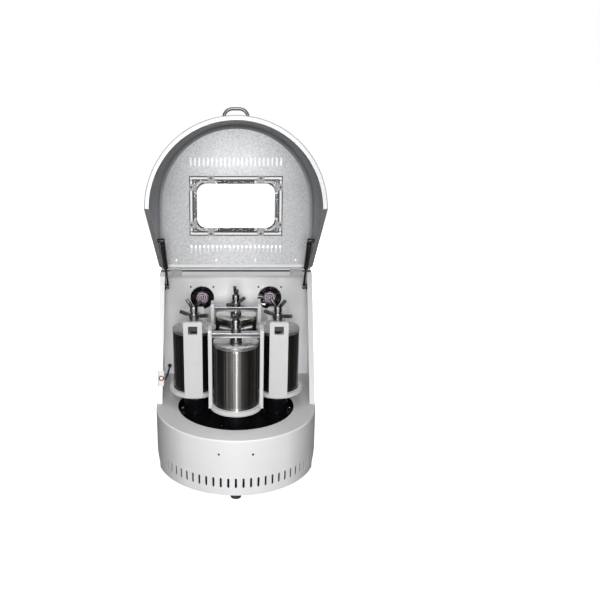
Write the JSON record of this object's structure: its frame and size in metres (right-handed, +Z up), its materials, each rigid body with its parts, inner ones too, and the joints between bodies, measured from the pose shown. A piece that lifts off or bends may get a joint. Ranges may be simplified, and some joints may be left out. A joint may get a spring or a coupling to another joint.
{
  "type": "laboratory ball mill",
  "caption": "Vertical planetary ball mill with clamped steel jars on a turntable in a D-shaped housing, under a hinged lid with a window.",
  "frame": {"origin": "centre of the footprint, on the surface the feet stand on", "axes": "+Z up, +Y to the back of the machine, +X to the right as seen from the front"},
  "size_m": [0.47, 0.75, 1.0454],
  "materials": {
    "white_paint": "gloss white powder coat",
    "wall_paint": "gloss white powder coat",
    "black_paint": "satin black",
    "plain_steel": "machined",
    "cast_grey": "as cast, painted grey",
    "motor_paint": "dark grey enamel",
    "belt_rubber": "matte black",
    "foot_rubber": "matte black",
    "cable_rubber": "matte black jacket",
    "bright_steel": "bright zinc plate",
    "fan_plastic": "moulded black",
    "unit_plastic": "moulded dark grey",
    "black_plastic": "moulded black",
    "switch_plastic": "moulded white",
    "galvanised": "galvanised sheet",
    "bar_zinc": "galvanised bar",
    "window_clear": "clear",
    "strut_paint": "black enamel",
    "jar_steel": "turned stainless steel",
    "clamp_steel": "stainless steel"
  },
  "bodies": {
    "housing": {"housing_shell": "white_paint", "pit_wall": "black_paint", "chamber_back_wall": "wall_paint", "rear_panel": "white_paint", "base_plate": "plain_steel", "rubber_feet": "foot_rubber", "machine_frame": "plain_steel", "main_bearing": "cast_grey", "motor": "motor_paint", "drive_belt": "belt_rubber", "panel_screws": "bright_steel", "fan_frames": "fan_plastic", "control_unit": "unit_plastic", "power_inlet": "black_plastic", "interlock_switch": "switch_plastic", "interlock_cable": "cable_rubber", "housing_fittings": "bright_steel"},
    "motor_pulley": {"motor_pulley": "plain_steel"},
    "turntable": {"turntable": "black_paint", "main_shaft": "plain_steel", "planet_belts": "belt_rubber"},
    "carrier_left": {"carrier_left": "white_paint", "jar_left": "jar_steel", "jar_lid_left": "jar_steel", "cross_beam_left": "clamp_steel"},
    "lock_nut_left": {"lock_nut_left": "clamp_steel"},
    "clamp_screw_left": {"clamp_screw_left": "clamp_steel"},
    "carrier_front": {"carrier_front": "white_paint", "jar_front": "jar_steel", "jar_lid_front": "jar_steel", "cross_beam_front": "clamp_steel"},
    "lock_nut_front": {"lock_nut_front": "clamp_steel"},
    "clamp_screw_front": {"clamp_screw_front": "clamp_steel"},
    "carrier_right": {"carrier_right": "white_paint", "jar_right": "jar_steel", "jar_lid_right": "jar_steel", "cross_beam_right": "clamp_steel"},
    "lock_nut_right": {"lock_nut_right": "clamp_steel"},
    "clamp_screw_right": {"clamp_screw_right": "clamp_steel"},
    "carrier_back": {"carrier_back": "white_paint", "jar_back": "jar_steel", "jar_lid_back": "jar_steel", "cross_beam_back": "clamp_steel"},
    "lock_nut_back": {"lock_nut_back": "clamp_steel"},
    "clamp_screw_back": {"clamp_screw_back": "clamp_steel"},
    "lid": {"lid_shell": "white_paint", "lid_liner": "galvanised", "window_gasket": "belt_rubber", "window_pane": "window_clear", "window_frame": "bar_zinc", "lid_handle": "bright_steel", "lid_fittings": "bright_steel"},
    "strut_cylinder_left": {"strut_cylinder_left": "strut_paint"},
    "strut_cylinder_right": {"strut_cylinder_right": "strut_paint"},
    "strut_rod_left": {"strut_rod_left": "bright_steel"},
    "strut_rod_right": {"strut_rod_right": "bright_steel"},
    "fan_rotor_left": {"fan_rotor_left": "fan_plastic"},
    "fan_rotor_right": {"fan_rotor_right": "fan_plastic"},
    "interlock_plunger": {"interlock_plunger": "bright_steel"},
    "power_rocker": {"power_rocker": "black_plastic"}
  },
  "joints": [
    {"name": "lid_hinge", "type": "hinge", "parent": "housing", "child": "lid", "pos_m": [0, 0.058, 0.5595], "axis": [1, 0, 0], "range_deg": [0, 96.85]},
    {"name": "turntable_spin", "type": "hinge", "parent": "housing", "child": "turntable", "pos_m": [0, -0.14, 0.169], "axis": [0, 0, 1], "continuous": true},
    {"name": "motor_spin", "type": "hinge", "parent": "housing", "child": "motor_pulley", "pos_m": [0, 0.19008, 0.063], "axis": [0, 0, 1], "continuous": true},
    {"name": "power_rocker_tip", "type": "hinge", "parent": "housing", "child": "power_rocker", "pos_m": [0.15, 0.36, 0.125], "axis": [-1, 0, 0], "range_deg": [0, 16]},
    {"name": "interlock_plunger_slide", "type": "slide", "parent": "housing", "child": "interlock_plunger", "axis": [0, 0.8762, -0.4819], "range_m": [0, 0.0015], "stiffness_N_per_m": 300, "springref_m": -0.001},
    {"name": "carrier_left_spin", "type": "hinge", "parent": "turntable", "child": "carrier_left", "pos_m": [-0.12, -0.14, 0.195], "axis": [0, 0, 1], "continuous": true},
    {"name": "lock_nut_left_turn", "type": "hinge", "parent": "carrier_left", "child": "lock_nut_left", "pos_m": [-0.12, -0.14, 0.463], "axis": [0, 0, 1], "range_deg": [0, 90]},
    {"name": "clamp_screw_left_turn", "type": "hinge", "parent": "carrier_left", "child": "clamp_screw_left", "pos_m": [-0.12, -0.14, 0.463], "axis": [0, 0, 1], "range_deg": [0, 360]},
    {"name": "carrier_front_spin", "type": "hinge", "parent": "turntable", "child": "carrier_front", "pos_m": [0, -0.26, 0.195], "axis": [0, 0, 1], "continuous": true},
    {"name": "lock_nut_front_turn", "type": "hinge", "parent": "carrier_front", "child": "lock_nut_front", "pos_m": [0, -0.26, 0.463], "axis": [0, 0, 1], "range_deg": [0, 90]},
    {"name": "clamp_screw_front_turn", "type": "hinge", "parent": "carrier_front", "child": "clamp_screw_front", "pos_m": [0, -0.26, 0.463], "axis": [0, 0, 1], "range_deg": [0, 360]},
    {"name": "carrier_right_spin", "type": "hinge", "parent": "turntable", "child": "carrier_right", "pos_m": [0.12, -0.14, 0.195], "axis": [0, 0, 1], "continuous": true},
    {"name": "lock_nut_right_turn", "type": "hinge", "parent": "carrier_right", "child": "lock_nut_right", "pos_m": [0.12, -0.14, 0.463], "axis": [0, 0, 1], "range_deg": [0, 90]},
    {"name": "clamp_screw_right_turn", "type": "hinge", "parent": "carrier_right", "child": "clamp_screw_right", "pos_m": [0.12, -0.14, 0.463], "axis": [0, 0, 1], "range_deg": [0, 360]},
    {"name": "carrier_back_spin", "type": "hinge", "parent": "turntable", "child": "carrier_back", "pos_m": [0, -0.02, 0.195], "axis": [0, 0, 1], "continuous": true},
    {"name": "lock_nut_back_turn", "type": "hinge", "parent": "carrier_back", "child": "lock_nut_back", "pos_m": [0, -0.02, 0.463], "axis": [0, 0, 1], "range_deg": [0, 90]},
    {"name": "clamp_screw_back_turn", "type": "hinge", "parent": "carrier_back", "child": "clamp_screw_back", "pos_m": [0, -0.02, 0.463], "axis": [0, 0, 1], "range_deg": [0, 360]},
    {"name": "fan_left_spin", "type": "hinge", "parent": "housing", "child": "fan_rotor_left", "pos_m": [-0.107, 0.099, 0.454], "axis": [0, 1, 0], "continuous": true},
    {"name": "fan_right_spin", "type": "hinge", "parent": "housing", "child": "fan_rotor_right", "pos_m": [0.107, 0.099, 0.454], "axis": [0, 1, 0], "continuous": true},
    {"name": "strut_left_swing", "type": "hinge", "parent": "lid", "child": "strut_cylinder_left", "pos_m": [-0.21, -0.08297, 0.67715], "axis": [1, 0, 0], "range_deg": [-6, 1]},
    {"name": "strut_left_stroke", "type": "slide", "parent": "strut_cylinder_left", "child": "strut_rod_left", "axis": [0, 0.6182, -0.786], "range_m": [-0.085, 0.001]},
    {"name": "strut_right_swing", "type": "hinge", "parent": "lid", "child": "strut_cylinder_right", "pos_m": [0.21, -0.08297, 0.67715], "axis": [1, 0, 0], "range_deg": [-6, 1]},
    {"name": "strut_right_stroke", "type": "slide", "parent": "strut_cylinder_right", "child": "strut_rod_right", "axis": [0, 0.6182, -0.786], "range_m": [-0.085, 0.001]}
  ],
  "couplings": [
    {"joint": "motor_spin", "follows": "turntable_spin", "ratio": 2.4246},
    {"joint": "carrier_left_spin", "follows": "turntable_spin", "ratio": -2},
    {"joint": "carrier_front_spin", "follows": "turntable_spin", "ratio": -2},
    {"joint": "carrier_right_spin", "follows": "turntable_spin", "ratio": -2},
    {"joint": "carrier_back_spin", "follows": "turntable_spin", "ratio": -2},
    {"joint": "strut_left_swing", "follows": "lid_hinge", "ratio": -0.046},
    {"joint": "strut_left_stroke", "follows": "lid_hinge", "m_per_rad": -0.049},
    {"joint": "strut_right_swing", "follows": "lid_hinge", "ratio": -0.046},
    {"joint": "strut_right_stroke", "follows": "lid_hinge", "m_per_rad": -0.049}
  ]
}
